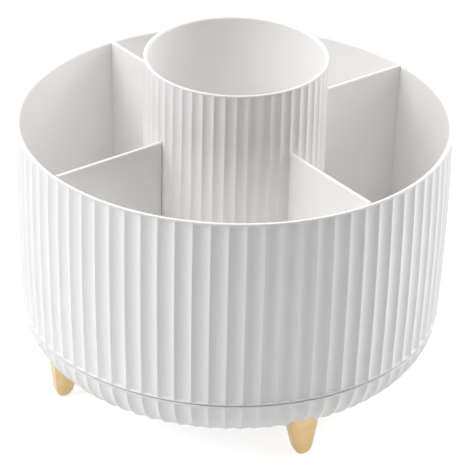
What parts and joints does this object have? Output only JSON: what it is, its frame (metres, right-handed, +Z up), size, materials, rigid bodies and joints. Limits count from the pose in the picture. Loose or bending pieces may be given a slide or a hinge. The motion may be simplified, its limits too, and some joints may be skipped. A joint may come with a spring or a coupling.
{
  "type": "rotating makeup organizer",
  "caption": "Round fluted organizer drum with four bays and a taller centre cup, turning on a ball ring above a bowl-edged base on tapered feet.",
  "frame": {"origin": "on the floor under the drum's axis", "axes": "+Z up along the drum's axis of rotation; the dividers lie along X and Y at rest"},
  "size_m": [0.1564, 0.1564, 0.127],
  "materials": {
    "white_plastic": "fine satin moulded plastic",
    "gold_plating": "polished gold plating",
    "race_plastic": "natural low-friction moulded plastic",
    "bearing_steel": "polished balls",
    "screw_steel": "zinc-plated steel"
  },
  "bodies": {
    "base": {"base_shell": "white_plastic", "foot_1": "gold_plating", "foot_2": "gold_plating", "foot_3": "gold_plating", "foot_4": "gold_plating", "foot_screws": "screw_steel", "lower_race": "race_plastic", "lower_race_screws": "screw_steel", "pivot_bush": "race_plastic"},
    "ball_ring": {"ball_cage": "race_plastic", "bearing_balls": "bearing_steel"},
    "drum": {"drum_shell": "white_plastic", "divider_1": "white_plastic", "divider_2": "white_plastic", "divider_3": "white_plastic", "divider_4": "white_plastic", "centre_cup": "white_plastic", "cup_screws": "screw_steel", "upper_race": "race_plastic", "upper_race_screws": "screw_steel", "pivot_screw": "screw_steel", "pivot_washer": "screw_steel"}
  },
  "joints": [
    {"name": "drum_spin", "type": "hinge", "parent": "base", "child": "drum", "pos_m": [0, 0, 0.0243], "axis": [0, 0, 1], "continuous": true},
    {"name": "cage_spin", "type": "hinge", "parent": "base", "child": "ball_ring", "pos_m": [0, 0, 0.0243], "axis": [0, 0, 1], "continuous": true}
  ],
  "couplings": [
    {"joint": "cage_spin", "follows": "drum_spin", "ratio": 0.5}
  ]
}
